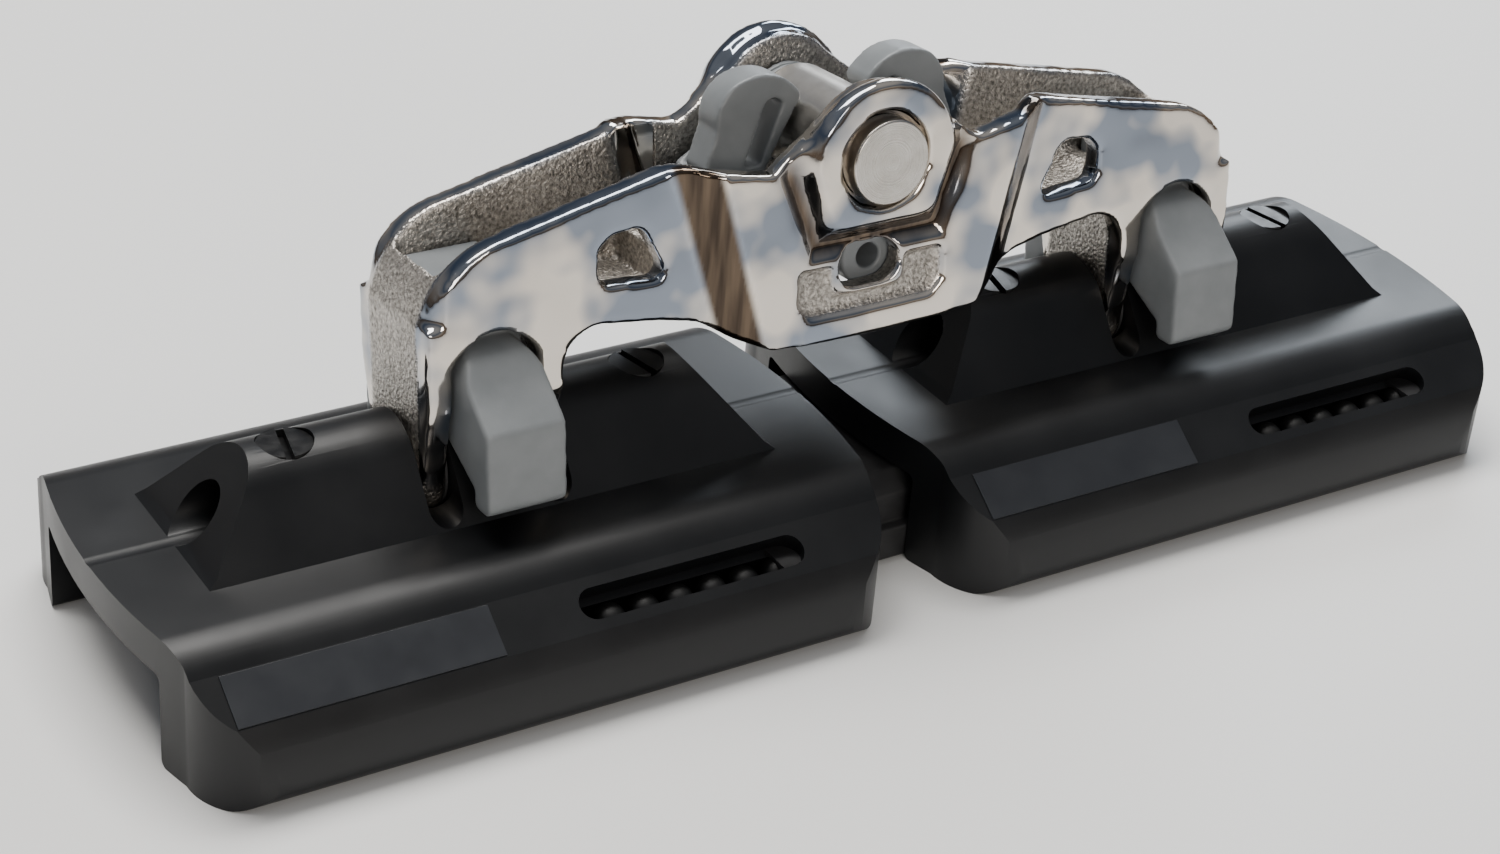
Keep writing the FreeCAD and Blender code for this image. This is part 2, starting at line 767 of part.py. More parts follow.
def finish_yoke(body):
    """Legs, floors, webs and bosses are added to the walls, then the holes are cut."""
    for side in (-1, 1):
        for inner in (-1, 1):
            tag = "yoke_%s_%s" % ("left" if side < 0 else "right", "a" if inner < 0 else "b")
            start = side * HALF_PITCH + inner * size("leg_out") - (size("leg_thickness") if inner > 0 else 0)
            leg = sketch_on(body, tag + "_leg", "YZ_Plane", leg_profile(), "%.4f" % start)
            pad(body, leg, "Sizes.leg_thickness")
        tag = "yoke_%s" % ("left" if side < 0 else "right")
        outer = side * (HALF_PITCH - size("leg_out") + 1)
        floor = outline((side * 30.0, 17.6), (side * 30.0, 21.0), (outer, 23.0), (outer, 19.0))
        pad(body, sketch_on(body, tag + "_floor", "XZ_Plane", floor), "2 * (Sizes.arm_half_width - Sizes.wall) + 1",
            symmetric=True)
        web = outline((side * 27.0, 16.4), (side * 30.5, 17.6), (side * 31.6, 27.0), (side * 28.6, 27.0))
        pad(body, sketch_on(body, tag + "_web", "XZ_Plane", web), "2 * (Sizes.arm_half_width - Sizes.wall) + 3",
            symmetric=True)
    up = size("cross_pin_up")
    for name, side in (("front", 1), ("back", -1)):
        levels = (("foot", "%d * (Sizes.body_half_width - 1)" % side, BOSS_FLARE),
                  ("face", "%d * Sizes.boss_half_width" % side, 0.0))
        foot, face = [sketch_on(body, "yoke_%s_boss_%s" % (name, level), "XZ_Plane", boss_outline(flare), offset)
                      for level, offset, flare in levels]
        boss = body.newObject("PartDesign::AdditiveLoft", "yoke_%s_boss" % name)
        boss.Profile = foot
        boss.Sections = [face]
        boss.Ruled = True
        body.Tip = boss
    for sign in (-1, 1):
        tag = "yoke_window_%s" % ("left" if sign < 0 else "right")
        pocket(body, sketch_on(body, tag, "XZ_Plane", window_outline(sign)), "Sizes.body_half_width + 1",
               symmetric=False, reverse=True)
    slot = obround(*LASHING_CENTRE, LASHING_HALF_RUN, LASHING_RADIUS)
    pocket(body, sketch_on(body, "yoke_lashing_slot", "XZ_Plane", slot))
    bore = sketch_on(body, "yoke_cross_bore", "XZ_Plane", circle(0, up, SHANK_RADIUS))
    radius_from(bore, "Sizes.cross_pin_shank / 2 + Sizes.running_fit")
    pocket(body, bore)
    sink = sketch_on(body, "yoke_head_sink", "XZ_Plane", circle(0, up, HEAD_RADIUS + 1), "Sizes.boss_half_width")
    radius_from(sink, "Sizes.cross_pin_head / 2 + Sizes.head_gap")
    pocket(body, sink, "%.2f" % HEAD_SINK, symmetric=False)
    panel = outline((-13.4, 17.4), (-11.8, 15.2), (10.0, 15.2), (11.8, 17.4), (11.8, 22.5), (4.9, 22.5), (4.9, 18.9),
                    (3.6, 18.0), (-6.0, 18.0), (-7.3, 18.9), (-7.3, 22.8), (-13.4, 22.8))
    recess = sketch_on(body, "yoke_front_panel", "XZ_Plane", panel, "Sizes.body_half_width")
    pocket(body, recess, "%.2f" % PANEL_DEPTH, symmetric=False)
    eye = sketch_on(body, "yoke_pivot_eye", "YZ_Plane", circle(0, 0, BUSH_RADIUS))
    radius_from(eye, "Sizes.pivot_pin_diameter / 2 + 1.2")
    pocket(body, eye)
    return lean(body)


def bush(name, car_sign, leg_sign):
    """A flanged plastic bush in one leg, which keeps the casting off the pin and the car."""
    body = new_body(name)
    ring = circle(0, 0, BUSH_RADIUS) + circle(0, 0, size("pivot_pin_diameter") / 2)
    inner = leg_sign * LEG_IN if leg_sign > 0 else -LEG_IN
    sleeve = sketch_on(body, name + "_sleeve", "YZ_Plane", ring, "%.4f" % inner)
    radius_from(sleeve, "Sizes.pivot_pin_diameter / 2 + 1.2", 0)
    radius_from(sleeve, "Sizes.pivot_pin_diameter / 2", 1)
    pad(body, sleeve, "Sizes.leg_thickness", reverse=leg_sign < 0)
    ring = circle(0, 0, size("leg_eye") - 0.4) + circle(0, 0, size("pivot_pin_diameter") / 2)
    flange = sketch_on(body, name + "_flange", "YZ_Plane", ring, "%.4f" % inner)
    radius_from(flange, "Sizes.pivot_pin_diameter / 2", 1)
    pad(body, flange, "Sizes.leg_gap - 0.2", reverse=leg_sign > 0)
    return lean(body, "%d * Sizes.car_pitch / 2" % car_sign)


def saddle(name, car_sign):
    """The grey plastic saddle over the ridge, whose two feet stop the yoke's swing."""
    body = new_body(name)
    out = size("saddle_half_width")
    foot = size("saddle_foot")
    top = size("saddle_top")
    inner = out - SADDLE_LEG
    neck = ARM_INNER - 0.3
    ring = size("ridge_crown") + 0.8
    right = arc_point(0, 0, ring, 36.6)
    left = (-right[0], right[1])
    section = outline(
        (neck, top), (neck, 20.0), ((neck + 4.2, 19.0), (neck + 7.4, 16.0)), (out, 10.8), (out, foot + 1),
        (out - 1, foot), (inner + 0.6, foot), (inner, foot + 0.6), (inner, 1.2), right,
        ((0, ring), left), (-inner, 1.2), (-inner, foot + 0.6), (-inner - 0.6, foot),
        (1 - out, foot), (-out, foot + 1), (-out, 10.8), (-neck - 7.4, 16.0),
        ((-neck - 4.2, 19.0), (-neck, 20.0)), (-neck, top),
    )
    pad(body, sketch_on(body, name + "_section", "YZ_Plane", section),
        "2 * (Sizes.leg_out - Sizes.leg_thickness - Sizes.saddle_gap)", symmetric=True)
    half = SADDLE_HALF_LENGTH
    spring = SADDLE_SPRING
    above = outline((-half, spring), ((0, spring + half), (half, spring)), (half, top + 1), (-half, top + 1))
    for side, offset in (("front", neck), ("back", -neck)):
        shoulder = sketch_on(body, "%s_%s_shoulder" % (name, side), "XZ_Plane", above, "%.4f" % offset)
        pocket(body, shoulder, "Sizes.saddle_half_width", symmetric=False, reverse=side == "front")
    pocket(body, sketch_on(body, name + "_notch", "YZ_Plane", circle(0, NOTCH_UP, NOTCH_RADIUS)))
    return lean(body, "%d * Sizes.car_pitch / 2" % car_sign)


# ---------------------------------------------------------------- on the cross pin

def turned_about_cross_pin(name, steps):
    """A round piece on the cross pin, from (start, end, radius) steps along it."""
    body = new_body(name)
    for number, (start, end, radius) in enumerate(steps):
        disc = sketch_on(body, "%s_step_%d" % (name, number + 1), "XZ_Plane",
                         circle(0, size("cross_pin_up"), radius), "%.4f" % -end)
        pad(body, disc, "%.4f" % (end - start))
    return body


def cross_pin():
    """The pin: a head in the front boss, a shank across the yoke and a groove at the back."""
    front = -size("boss_half_width")
    back = size("boss_half_width")
    steps = [
        (front - size("head_stand"), front + HEAD_SINK, HEAD_RADIUS),
        (front + HEAD_SINK, back + RING_START, SHANK_RADIUS),
        (back + RING_START, back + RING_START + RING_WIDTH, SHANK_RADIUS - RING_GROOVE),
        (back + RING_START + RING_WIDTH, back + PIN_TAIL, SHANK_RADIUS),
    ]
    return lean(turned_about_cross_pin("cross_pin", steps))


def pin_ring():
    """The retaining ring in the pin's groove, open at the top."""
    body = new_body("pin_retaining_ring")
    start = size("boss_half_width") + RING_START
    up = size("cross_pin_up")
    inner = SHANK_RADIUS - RING_GROOVE
    outer = SHANK_RADIUS + RING_STAND
    gap = RING_GAP
    edges = outline(
        arc_point(0, up, outer, 90 + gap / 2),
        (arc_point(0, up, outer, 270), arc_point(0, up, outer, 90 - gap / 2)),
        arc_point(0, up, inner, 90 - gap / 2),
        (arc_point(0, up, inner, 270), arc_point(0, up, inner, 90 + gap / 2)),
    )
    pad(body, sketch_on(body, "ring_face", "XZ_Plane", edges, "%.4f" % -start), "%.2f" % RING_WIDTH, reverse=True)
    return lean(body)


def webbing_roller():
    """The sleeve that the webbing runs on, free to turn on the cross pin."""
    body = new_body("webbing_roller")
    up = size("cross_pin_up")
    edges = circle(0, up, ROLLER_RADIUS) + circle(0, up, SHANK_RADIUS + ROLLER_FIT)
    ring = sketch_on(body, "roller_end", "XZ_Plane", edges)
    radius_from(ring, "Sizes.cross_pin_shank / 2 + %.2f" % ROLLER_WALL, 0)
    radius_from(ring, "Sizes.cross_pin_shank / 2 + %.2f" % ROLLER_FIT, 1)
    pad(body, ring, "%.2f" % ROLLER_LENGTH, symmetric=True)
    return lean(body)


def guide_profile(sign):
    """A webbing guide seen from the front: a tall hook with a leaning slot inside it."""
    up = size("cross_pin_up")

    def shifted(step):
        if isinstance(step[0], tuple):
            return tuple(shifted(point) for point in step)
        return (sign * (ROLLER_RADIUS + step[0]), up + step[1])

    hook = [
        (14.4, -2.2), (12.3, 3.4), ((10.7, 8.6), (7.7, 10.3)), ((3.1, 10.4), (-0.9, 8.0)),
        ((-1.8, 6.4), (-1.0, 4.9)), (3.7, -3.4), (4.9, GUIDE_FOOT_LOW), (12.9, GUIDE_FOOT_LOW),
    ]
    slot = [(4.4, 5.7), ((3.1, 6.8), (1.3, 5.8)), (4.9, -3.0), (7.7, -3.0)]
    return outline(*map(shifted, hook)) + outline(*map(shifted, slot))


def webbing_guide(side, sign):
    """A grey hook beside the roller, hung from the cross pin by a cheek at each end of the roller."""
    name = side + "_webbing_guide"
    body = new_body(name)
    up = size("cross_pin_up")
    low, high = up + GUIDE_FOOT_LOW, up + GUIDE_FOOT_HIGH
    near, far = sign * (ROLLER_RADIUS + GUIDE_FOOT_NEAR), sign * (ROLLER_RADIUS + GUIDE_FOOT_FAR)
    inside = CHEEK_INSIDE[side]
    rim = SHANK_RADIUS + CHEEK_RIM
    hook = sketch_on(body, name + "_hook", "XZ_Plane", guide_profile(sign))
    pad(body, hook, "Sizes.guide_width", symmetric=True)
    foot = sketch_on(body, name + "_foot", "XZ_Plane", rectangle(near, low, far, high))
    pad(body, foot, "%.4f" % (2 * (inside + CHEEK)), symmetric=True)
    arm = outline((0, up + rim), (0, up - rim), (near, low), (far, low), (far, high))
    for end, reverse in (("front", False), ("back", True)):
        tag = "%s_%s_cheek" % (name, end)
        offset = "%.4f" % (-inside if reverse else inside)
        pad(body, sketch_on(body, tag, "XZ_Plane", arm, offset), "%.4f" % CHEEK, reverse=reverse)
        boss = sketch_on(body, tag + "_rim", "XZ_Plane", circle(0, up, rim), offset)
        pad(body, boss, "%.4f" % CHEEK, reverse=reverse)
    hole = sketch_on(body, name + "_eye", "XZ_Plane", circle(0, up, SHANK_RADIUS + ROLLER_FIT))
    radius_from(hole, "Sizes.cross_pin_shank / 2 + %.2f" % ROLLER_FIT)
    pocket(body, hole)
    return lean(body)


def lashing_bobbin():
    """The grey sleeve seen through the lashing slot, bored right through."""
    body = new_body("lashing_bobbin")
    edges = circle(*BOBBIN_CENTRE, BOBBIN_RADIUS) + circle(*BOBBIN_CENTRE, BOBBIN_BORE)
    sketch = sketch_on(body, "bobbin_end", "XZ_Plane", edges)
    pad(body, sketch, "2 * (Sizes.body_half_width - Sizes.wall)", symmetric=True)
    return lean(body)


# ---------------------------------------------------------------- build, check and write

for car_name, car_sign in (("left", -1), ("right", 1)):
    where = "%d * Sizes.car_pitch / 2" % car_sign
    car_body(car_name + "_car_body", where)
    ball_guides(car_name + "_ball_guides", where)
    ball_row(car_name + "_front_balls", -1, where)
    ball_row(car_name + "_back_balls", 1, where)
    pivot_pin(car_name + "_pivot_pin", where)
    set_screws(car_name + "_set_screws", where)
    label(car_name + "_label", where)
    saddle(car_name + "_saddle", car_sign)
    bush(car_name + "_outer_bush", car_sign, car_sign)
    bush(car_name + "_inner_bush", car_sign, -car_sign)
loader_rail()
finish_yoke(yoke())
cross_pin()
pin_ring()
webbing_roller()
webbing_guide("left", -1)
webbing_guide("right", 1)
lashing_bobbin()
doc.recompute()

for item in doc.Objects:
    if "Invalid" in item.State or "Error" in item.State:
        raise RuntimeError("%s did not build: %s" % (item.Name, item.State))
for node in NODES:
    if node.Shape.isNull() or not node.Shape.isValid() or not node.Shape.Solids:
        raise RuntimeError("%s has no valid solid" % node.Label)

os.makedirs("parts", exist_ok=True)
for node in NODES:
    node.Shape.exportStep(os.path.join("parts", node.Label + ".step"))
    box = node.Shape.BoundBox
    print("%-22s %3d solids %9.1f mm3  x %7.2f %7.2f  y %7.2f %7.2f  z %6.2f %6.2f" % (
        node.Label, len(node.Shape.Solids), node.Shape.Volume,
        box.XMin, box.XMax, box.YMin, box.YMax, box.ZMin, box.ZMax))
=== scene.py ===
# %% [markdown]
# # A tandem track car, finished piece by piece
#
# Two low black cars share one sail track. A polished steel casting joins them and carries a cross
# pin with two grey webbing guides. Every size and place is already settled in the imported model,
# so this lesson only finishes what is there: rounded edges, surfaces, light and a camera. Nothing
# is moved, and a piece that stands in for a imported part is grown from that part's own mesh.

# %% Load the fixed frame
import json
import math

import bmesh
import bpy
from mathutils import Matrix, Vector


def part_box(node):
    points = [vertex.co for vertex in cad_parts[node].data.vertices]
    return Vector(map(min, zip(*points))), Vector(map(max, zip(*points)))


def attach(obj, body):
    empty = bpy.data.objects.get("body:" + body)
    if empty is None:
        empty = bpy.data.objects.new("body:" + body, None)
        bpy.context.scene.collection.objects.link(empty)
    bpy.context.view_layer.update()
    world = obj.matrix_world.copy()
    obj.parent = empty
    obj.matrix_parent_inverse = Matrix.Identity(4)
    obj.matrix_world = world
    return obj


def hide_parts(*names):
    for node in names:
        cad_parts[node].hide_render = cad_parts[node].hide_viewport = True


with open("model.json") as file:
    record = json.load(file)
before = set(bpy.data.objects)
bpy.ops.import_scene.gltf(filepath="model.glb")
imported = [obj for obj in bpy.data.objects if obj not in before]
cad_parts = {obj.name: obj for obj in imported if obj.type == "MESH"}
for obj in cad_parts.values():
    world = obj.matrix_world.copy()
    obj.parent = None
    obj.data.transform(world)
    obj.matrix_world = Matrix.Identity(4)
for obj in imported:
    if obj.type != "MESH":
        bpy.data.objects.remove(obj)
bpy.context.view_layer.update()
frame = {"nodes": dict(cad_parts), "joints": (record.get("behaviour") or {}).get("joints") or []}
MM = 0.001
SIDES = ("left", "right")
CARS = {side: side + "_car" for side in SIDES}

# %% [markdown]
# ## Places that several pieces share
#
# The casting leans back on the cars by a few degrees, so anything drawn "straight" on it needs
# the same lean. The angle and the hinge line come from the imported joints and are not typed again:
# the hinge is the first joint's position, and the lean is the tilt of the cross pin's own axis.

# %% The yoke's own frame
joints = {joint["name"]: joint for joint in frame["joints"]}
HINGE = Vector(joints["yoke_swing"]["pos_m"])
PIN_PLACE = Vector(joints["cross_pin_spin"]["pos_m"])
PIN_AXIS = Vector(joints["cross_pin_spin"]["axis"])
LEAN = math.atan2(-PIN_AXIS.z, PIN_AXIS.y)
TO_YOKE = Matrix.Rotation(LEAN, 4, "X") @ Matrix.Translation(-HINGE)
PIN_UP = (TO_YOKE @ PIN_PLACE).z
print("lean %.2f degrees, cross pin %.1f mm above the hinge" % (math.degrees(LEAN), PIN_UP / MM))

# %% [markdown]
# ## The camera
#
# The camera looks down on the front of the assembly from the left. Its three axes are written out
# because a measured view has a small roll, which a plain look-at constraint would lose. The lens
# is long, about twice a normal one, so the near car isn't swollen.

# %% Camera
CAMERA_RIGHT = Vector((0.8496, -0.5222, 0.0748))
CAMERA_UP = Vector((0.2105, 0.4655, 0.8597))
CAMERA_BACK = Vector((-0.4837, -0.7146, 0.5054))
CAMERA_PLACE = Vector((-0.23028, -0.32371, 0.24508))

SENSOR_WIDTH = 36.0
FOCAL_LENGTH = 71.31

lens = bpy.data.cameras.new("studio_camera")
lens.sensor_width = SENSOR_WIDTH
lens.lens = FOCAL_LENGTH
lens.clip_start = 0.01
camera = bpy.data.objects.new("studio_camera", lens)
bpy.context.scene.collection.objects.link(camera)
turn = Matrix((CAMERA_RIGHT, CAMERA_UP, CAMERA_BACK)).transposed()
camera.matrix_world = Matrix.Translation(CAMERA_PLACE) @ turn.to_4x4()
bpy.context.scene.camera = camera
print("camera %.0f mm from the hinge" % ((CAMERA_PLACE - HINGE).length / MM))

# %% [markdown]
# ## Light and floor
#
# Polished metal shows its surroundings, so the studio matters more than the metal's own colour.
# The sky is a soft gradient, warm and dim at floor level and near white overhead, with a cooler
# band between. Wide area lights give long soft highlights. The floor is one plain pale sheet.
# The camera itself sees a plain backdrop in place of the sky.

# %% Node helper, sky, floor and lights
def add(tree, kind, feeds=None, **settings):
    """One node; feeds sets or wires its inputs, and the rest are the node's own settings."""
    made = tree.nodes.new(kind)
    for name, value in settings.items():
        setattr(made, name, value)
    for key, value in (feeds or {}).items():
        socket = made.inputs[key]
        if isinstance(value, bpy.types.NodeSocket):
            tree.links.new(value, socket)
        else:
            socket.default_value = value
    return made


def colour_steps(tree, factor, steps):
    """A colour ramp from (position, colour) steps."""
    ramp = add(tree, "ShaderNodeValToRGB", {"Fac": factor})
    marks = ramp.color_ramp.elements
    while len(marks) < len(steps):
        marks.new(0.5)
    for mark, (position, colour) in zip(marks, steps):
        mark.position = position
        mark.color = (*colour, 1.0)
    return ramp.outputs["Color"]


SKY_STRENGTH = 0.45
BACKDROP_STRENGTH = 0.8
BACKDROP_COLOUR = (0.78, 0.78, 0.77, 1.0)
SKY_STEPS = [  # from straight down, at 0, to straight up, at 1
    (0.0, (0.10, 0.07, 0.05)), (0.47, (0.16, 0.11, 0.08)), (0.53, (0.42, 0.33, 0.26)),
    (0.60, (0.70, 0.66, 0.62)), (0.70, (0.20, 0.26, 0.36)), (0.82, (0.62, 0.64, 0.68)),
    (1.0, (0.95, 0.95, 0.95)),
]


def studio_sky():
    world = bpy.data.worlds.new("studio_sky")
    world.use_nodes = True
    tree = world.node_tree
    tree.nodes.clear()
    direction = add(tree, "ShaderNodeTexCoord").outputs["Generated"]
    height = add(tree, "ShaderNodeSeparateXYZ", {"Vector": direction}).outputs["Z"]
    raised = add(tree, "ShaderNodeMapRange", {"Value": height, "From Min": -1.0, "From Max": 1.0})
    colour = colour_steps(tree, raised.outputs["Result"], SKY_STEPS)
    sky = add(tree, "ShaderNodeBackground", {"Color": colour, "Strength": SKY_STRENGTH})
    backdrop = add(tree, "ShaderNodeBackground", {
        "Color": BACKDROP_COLOUR, "Strength": BACKDROP_STRENGTH})
    seen = add(tree, "ShaderNodeLightPath").outputs["Is Camera Ray"]
    both = add(tree, "ShaderNodeMixShader", {
        0: seen, 1: sky.outputs["Background"], 2: backdrop.outputs["Background"]})
    add(tree, "ShaderNodeOutputWorld", {"Surface": both.outputs["Shader"]})
    bpy.context.scene.world = world


def flat_sheet(name, corners, colour, roughness):
    """A plain four-cornered sheet that belongs to the studio, not to the object."""
    mesh = bpy.data.meshes.new(name)
    mesh.from_pydata([tuple(corner) for corner in corners], [], [(0, 1, 2, 3)])
    sheet = bpy.data.objects.new(name, mesh)
    bpy.context.scene.collection.objects.link(sheet)
    paint = bpy.data.materials.new(name)
    paint.use_nodes = True
    shader = paint.node_tree.nodes["Principled BSDF"]
    shader.inputs["Base Color"].default_value = (*colour, 1.0)
    shader.inputs["Roughness"].default_value = roughness
    mesh.materials.append(paint)
    return sheet


def soft_light(name, place, aim, width, power, colour):
    lamp = bpy.data.lights.new(name, "AREA")
    lamp.shape = "RECTANGLE"
    lamp.size = width
    lamp.size_y = width * 0.6
    lamp.energy = power
    lamp.color = colour
    light = bpy.data.objects.new(name, lamp)
    bpy.context.scene.collection.objects.link(light)
    light.location = place
    light.rotation_euler = (Vector(aim) - Vector(place)).to_track_quat("-Z", "Y").to_euler()
    return light


studio_sky()
FLOOR_REACH = 3.0
floor_corners = [(-FLOOR_REACH, -FLOOR_REACH, 0), (FLOOR_REACH, -FLOOR_REACH, 0),
                 (FLOOR_REACH, FLOOR_REACH, 0), (-FLOOR_REACH, FLOOR_REACH, 0)]
flat_sheet("pale_floor", floor_corners, (0.80, 0.80, 0.79), 0.55)
soft_light("overhead", (-0.05, 0.30, 0.95), (0, 0, 0.03), 0.8, 15.0, (1.0, 0.98, 0.95))
soft_light("front_fill", (-0.25, -1.05, 0.45), (0, 0, 0.03), 0.5, 4.5, (1.0, 0.93, 0.85))
soft_light("back_rim", (0.75, 0.70, 0.50), (0, 0, 0.03), 0.5, 5.0, (0.86, 0.93, 1.0))

# %% [markdown]
# ## Surface helpers
#
# A finish is a colour, a roughness and a bump that all wander a little. Noise is read from Object
# coordinates, which are metres here, so a patch size can be stated in real millimetres. The
# helpers below state a noise by the size of its patches and spread it between two values.

# %% Finish helpers
def patches(tree, across, stretch=(1.0, 1.0, 1.0), detail=3.0):
    """Noise with patches that are about so many metres across, longer where stretch is above 1."""
    spot = add(tree, "ShaderNodeTexCoord").outputs["Object"]
    scale = tuple(1.0 / (across * long) for long in stretch)
    placed = add(tree, "ShaderNodeMapping", {"Vector": spot, "Scale": scale})
    noise = add(tree, "ShaderNodeTexNoise", {
        "Vector": placed.outputs["Vector"], "Scale": 1.0, "Detail": detail})
    return noise.outputs["Fac"]


def spread(tree, value, low, high, start=0.3, end=0.7):
    """The value's usual range, from start to end, moved to low to high."""
    moved = add(tree, "ShaderNodeMapRange", {
        "Value": value, "From Min": start, "From Max": end, "To Min": low, "To Max": high})
    return moved.outputs["Result"]


def blended(tree, factor, first, second):
    """First colour at 0, second colour at 1."""
    mixed = add(tree, "ShaderNodeMix", {0: factor, 6: first, 7: second}, data_type="RGBA")
    return mixed.outputs[2]


def relief(tree, height, depth, under=None, strength=1.0):
    """A bump so many metres deep, laid over the bump before it."""
    feeds = {"Height": height, "Distance": depth, "Strength": strength}
    if under is not None:
        feeds["Normal"] = under
    return add(tree, "ShaderNodeBump", feeds).outputs["Normal"]


def new_finish(name):
    """An empty material with one main shader, wired to its output."""
    finish = bpy.data.materials.new(name)
    finish.use_nodes = True
    tree = finish.node_tree
    tree.nodes.clear()
    shader = add(tree, "ShaderNodeBsdfPrincipled")
    add(tree, "ShaderNodeOutputMaterial", {"Surface": shader.outputs["BSDF"]})
    return finish, tree, shader


def wire(tree, shader, **feeds):
    """Wire patterns to the shader's Base Color, Roughness or Normal."""
    names = {"colour": "Base Color", "roughness": "Roughness", "normal": "Normal"}
    for key, socket in feeds.items():
        tree.links.new(socket, shader.inputs[names[key]])


print("finish helpers ready")

# %% [markdown]
# ## Black anodised aluminium
#
# The cars are extruded, milled and hard anodised. The dye gives a deep blue-black. The blasted
# surface under it breaks reflections up at about a tenth of a millimetre, and the die leaves very
# faint lines along the track. A soft cloud in the roughness stops large faces looking printed.

# %% Black anodised
def black_anodised():
    finish, tree, shader = new_finish("black_anodised")
    cloud = patches(tree, 14 * MM, detail=4.0)
    blasted = patches(tree, 0.13 * MM, detail=2.0)
    drawn = patches(tree, 0.35 * MM, stretch=(160.0, 1.0, 1.0), detail=2.0)
    colour = blended(tree, spread(tree, cloud, 0.0, 1.0),
                     (0.0030, 0.0033, 0.0040, 1), (0.0055, 0.0060, 0.0070, 1))
    normal = relief(tree, blasted, 0.010 * MM)
    normal = relief(tree, drawn, 0.004 * MM, under=normal)
    wire(tree, shader, colour=colour, roughness=spread(tree, cloud, 0.34, 0.43), normal=normal)
    shader.inputs["Specular IOR Level"].default_value = 0.36
    return finish


# %% [markdown]
# ## The polished casting
#
# One casting carries two finishes. Outside it is buffed to a mirror, and buffing leaves slow waves
# and a few fine scratches, never a flat mirror. Inside it is as it came from the mould: grey, warm
# and grainy. The two are separated by an attribute on the mesh's own points, which is worked out
# where the casting is made, because the border follows the walls and no simple pattern would.
# Real polished metal shows dark and coloured surroundings, and this plain studio has none. So the
# blue-grey patches on the faces, and the brown in the folds and round each boss, are colour that
# stands in for reflections. It stays on the metal when the view changes, as a reflection
# wouldn't. A second attribute says where the brown goes.

# %% Polished casting
def polished_casting():
    finish, tree, shader = new_finish("polished_casting")
    rough_cast = add(tree, "ShaderNodeAttribute", attribute_name="as_cast").outputs["Fac"]
    hollow = add(tree, "ShaderNodeAttribute", attribute_name="hollow").outputs["Fac"]
    waves = patches(tree, 13 * MM, detail=1.0)
    painted_reflection_patches = patches(tree, 12 * MM, detail=2.0)
    scratches = patches(tree, 0.5 * MM, stretch=(24.0, 1.0, 3.0), detail=3.0)
    grain = patches(tree, 0.55 * MM, detail=3.0)
    pits = patches(tree, 0.6 * MM, detail=3.0)
    streaks = patches(tree, 1.3 * MM, stretch=(1.0, 1.0, 16.0), detail=2.0)
    # Painted reflection: the blue-grey patches on the polished faces are colour standing in for
    # reflections of dark surroundings.
    bright = blended(tree, spread(tree, painted_reflection_patches, 0.0, 1.0, 0.42, 0.58),
                     (0.24, 0.27, 0.32, 1), (0.70, 0.64, 0.57, 1))
    # Painted reflection: the dark brown in the folds and round each boss is colour standing in for
    # dark reflections there.
    label_film_and_painted_hollow_reflection = blended(tree, spread(tree, streaks, 0.0, 1.0),
                   (0.050, 0.038, 0.030, 1), (0.135, 0.100, 0.072, 1))
    bright = blended(tree, hollow, bright, label_film_and_painted_hollow_reflection)
    dull = blended(
        tree, spread(tree, pits, 0.0, 1.0), (0.20, 0.185, 0.165, 1), (0.62, 0.58, 0.53, 1))
    mirror = spread(tree, scratches, 0.045, 0.10)
    matt = spread(tree, grain, 0.30, 0.46)
    mixed = add(tree, "ShaderNodeMix", {0: rough_cast, 2: mirror, 3: matt}).outputs[0]
    coarse = add(tree, "ShaderNodeMath", {0: grain, 1: rough_cast}, operation="MULTIPLY").outputs[0]
    normal = relief(tree, waves, 1.1 * MM)
    normal = relief(tree, coarse, 0.34 * MM, under=normal)
    colour = blended(tree, rough_cast, bright, dull)
    wire(tree, shader, colour=colour, roughness=mixed, normal=normal)
    shader.inputs["Metallic"].default_value = 1.0
    return finish


# %% [markdown]
# ## Turned and ground steel
#
# A lathe leaves rings on the face of a pin. They run round the pin's own axis, so the pattern is
# centred on that axis with a Mapping node and read as distance from it. The other turned pieces
# take the same finish.

# %% Turned steel
def turned_steel(name, centre, tilt):
    """Steel with turning rings round an axis through centre, tilted about X by tilt radians."""
    finish, tree, shader = new_finish(name)
    spot = add(tree, "ShaderNodeTexCoord").outputs["Object"]
    moved = add(tree, "ShaderNodeVectorMath", {0: spot, 1: tuple(-centre)}, operation="ADD")
    level = add(tree, "ShaderNodeMapping", {
        "Vector": moved.outputs[0], "Rotation": (tilt, 0.0, 0.0)})
    parts = add(tree, "ShaderNodeSeparateXYZ", {"Vector": level.outputs["Vector"]})
    across = add(tree, "ShaderNodeCombineXYZ", {"X": parts.outputs["X"], "Y": parts.outputs["Z"]})
    out = add(tree, "ShaderNodeVectorMath", {0: across.outputs[0]},
              operation="LENGTH").outputs["Value"]
    rings = add(tree, "ShaderNodeTexNoise", {"W": out, "Scale": 1 / (0.22 * MM), "Detail": 2.0},
                noise_dimensions="1D").outputs["Fac"]
    cloud = patches(tree, 3 * MM)
    colour = blended(
        tree, spread(tree, cloud, 0.0, 1.0), (0.50, 0.47, 0.43, 1), (0.62, 0.59, 0.55, 1))
    normal = relief(tree, rings, 0.015 * MM)
    wire(tree, shader, colour=colour, roughness=spread(tree, rings, 0.20, 0.34), normal=normal)
    shader.inputs["Metallic"].default_value = 1.0
    return finish


# %% [markdown]
# ## Plastics, film and blackened screws
#
# Moulded grey plastic has a fine spark-eroded texture and a faint mottle from the flow of the
# melt. Extruded black plastic has die lines. Bearing balls are tumbled smooth. The label is a thin
# film with a slight orange peel, a shade lighter and bluer than the metal; it is left plain.

